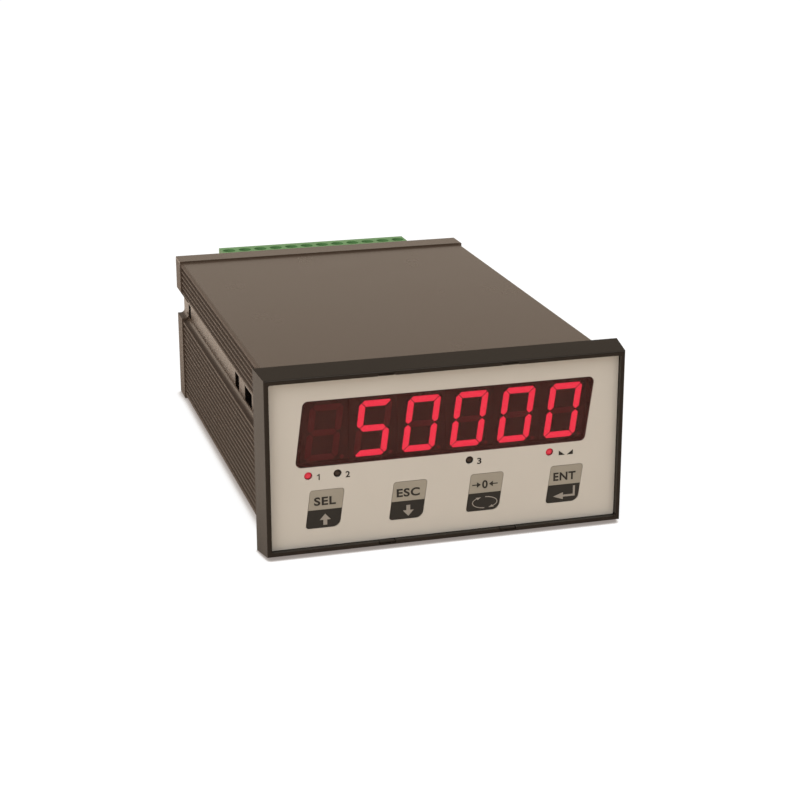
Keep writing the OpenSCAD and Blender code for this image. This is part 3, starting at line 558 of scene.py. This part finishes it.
# Tints of the floor, by how open it is within that reach
SHADOW_TINTS = (
    (0.30, (0.31, 0.27, 0.25)),
    (0.46, (0.36, 0.32, 0.295)),
    (0.57, (0.50, 0.46, 0.43)),
    (0.64, (0.72, 0.685, 0.66)),
    (0.70, (0.88, 0.86, 0.845)),
    (0.80, (1, 1, 1)),
)
floor_paint = bpy.data.materials.new("floor_paint")
floor_paint.use_nodes = True
tree = floor_paint.node_tree
tree.nodes.clear()
contact = tree.nodes.new("ShaderNodeAmbientOcclusion")
reach = mapped(tree, places(tree)[1], 0, SHADOW_GROW, SHADOW_NEAR, SHADOW_FAR)
tree.links.new(reach, contact.inputs["Distance"])
lift = fixed(tree, "ShaderNodeEmission", Strength=FLOOR_LIFT)
tree.links.new(ramped(tree, contact.outputs["AO"], SHADOW_TINTS), lift.inputs["Color"])
shade = fixed(tree, "ShaderNodeBsdfDiffuse", Color=FLOOR_SHADE)
paper = tree.nodes.new("ShaderNodeAddShader")
tree.links.new(shade.outputs["BSDF"], paper.inputs[0])
tree.links.new(lift.outputs["Emission"], paper.inputs[1])
bounce = fixed(tree, "ShaderNodeBsdfDiffuse", Color=FLOOR_BOUNCE)
eye = any_ray(tree, "Is Camera Ray", "Is Transmission Ray")
painted = mixed(tree, eye, bounce.outputs["BSDF"], paper.outputs["Shader"])
output = tree.nodes.new("ShaderNodeOutputMaterial")
tree.links.new(painted, output.inputs["Surface"])
floor.data.materials.append(floor_paint)

# Studio: white to the eye, soft light all round, and a gloss that dims with height
BACKDROP_COLOUR = (1, 1, 1, 1)
AMBIENT = 0.65
AMBIENT_COLOUR = (1.0, 0.99, 0.98, 1)
GLOSS_COLOUR = (1.0, 0.85, 0.70, 1)
GLOSS_LOW, GLOSS_TOP = 0.95, 0.37
GLOSS_FROM, GLOSS_TO = 0.14, 0.28
world = bpy.data.worlds.new("studio")
scene.world = world
world.use_nodes = True
sky = world.node_tree
sky.nodes.clear()
backdrop = fixed(sky, "ShaderNodeBackground", Color=BACKDROP_COLOUR)
ambient = fixed(sky, "ShaderNodeBackground", Color=AMBIENT_COLOUR, Strength=AMBIENT)
gloss = fixed(sky, "ShaderNodeBackground", Color=GLOSS_COLOUR)
direction = sky.nodes.new("ShaderNodeTexCoord")
height = sky.nodes.new("ShaderNodeSeparateXYZ")
sky.links.new(direction.outputs["Generated"], height.inputs["Vector"])
dimmed = mapped(sky, height.outputs["Z"], GLOSS_FROM, GLOSS_TO, GLOSS_LOW, GLOSS_TOP)
sky.links.new(dimmed, gloss.inputs["Strength"])
shiny = any_ray(sky, "Is Glossy Ray")
soft = mixed(sky, shiny, ambient.outputs["Background"], gloss.outputs["Background"])
eye = any_ray(sky, "Is Camera Ray", "Is Transmission Ray")
studio = mixed(sky, eye, soft, backdrop.outputs["Background"])
sky_out = sky.nodes.new("ShaderNodeOutputWorld")
sky.links.new(studio, sky_out.inputs["Surface"])

# Studio lamps: place and side in metres, and watts
KEY_LIGHT_PLACE, KEY_LIGHT_SIDE, KEY_LIGHT_WATTS = (-1.0, -0.5, 0.9), 0.8, 8
TOP_LIGHT_PLACE, TOP_LIGHT_SIDE, TOP_LIGHT_WATTS = (0.25, -0.35, 1.2), 0.6, 4


def soft_box(name, place, side, watts):
    """Square lamp that shines on the middle of the part."""
    lamp = bpy.data.lights.new(name, "AREA")
    lamp.shape = "SQUARE"
    lamp.size = side
    lamp.energy = watts
    made = bpy.data.objects.new(name, lamp)
    scene.collection.objects.link(made)
    made.location = place
    middle = (cad_low + cad_high) / 2
    made.rotation_euler = (middle - Vector(place)).to_track_quat("-Z", "Y").to_euler()


soft_box("key_light", KEY_LIGHT_PLACE, KEY_LIGHT_SIDE, KEY_LIGHT_WATTS)
soft_box("top_light", TOP_LIGHT_PLACE, TOP_LIGHT_SIDE, TOP_LIGHT_WATTS)

# Camera: its place, its direction, and its lens in millimetres on a 36 mm sensor
CAMERA_PLACE = Vector((-133.89, -494.46, 182.08)) * MM
CAMERA_AZIMUTH = math.radians(-16.048)
CAMERA_ELEVATION = math.radians(18.046)
CAMERA_ROLL = math.radians(-0.07)
CAMERA_LENS = 83.87
camera_data = bpy.data.cameras.new("camera")
camera_data.lens = CAMERA_LENS
camera = bpy.data.objects.new("camera", camera_data)
scene.collection.objects.link(camera)
level = math.cos(CAMERA_ELEVATION)
ahead = Vector((-math.sin(CAMERA_AZIMUTH) * level, math.cos(CAMERA_AZIMUTH) * level,
                -math.sin(CAMERA_ELEVATION)))
aim = ahead.to_track_quat("-Z", "Y").to_matrix() @ Matrix.Rotation(CAMERA_ROLL, 3, "Z")
camera.location = CAMERA_PLACE
camera.rotation_mode = "QUATERNION"
camera.rotation_quaternion = aim.to_quaternion()
scene.camera = camera

scene.view_settings.view_transform = "Standard"

low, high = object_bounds()
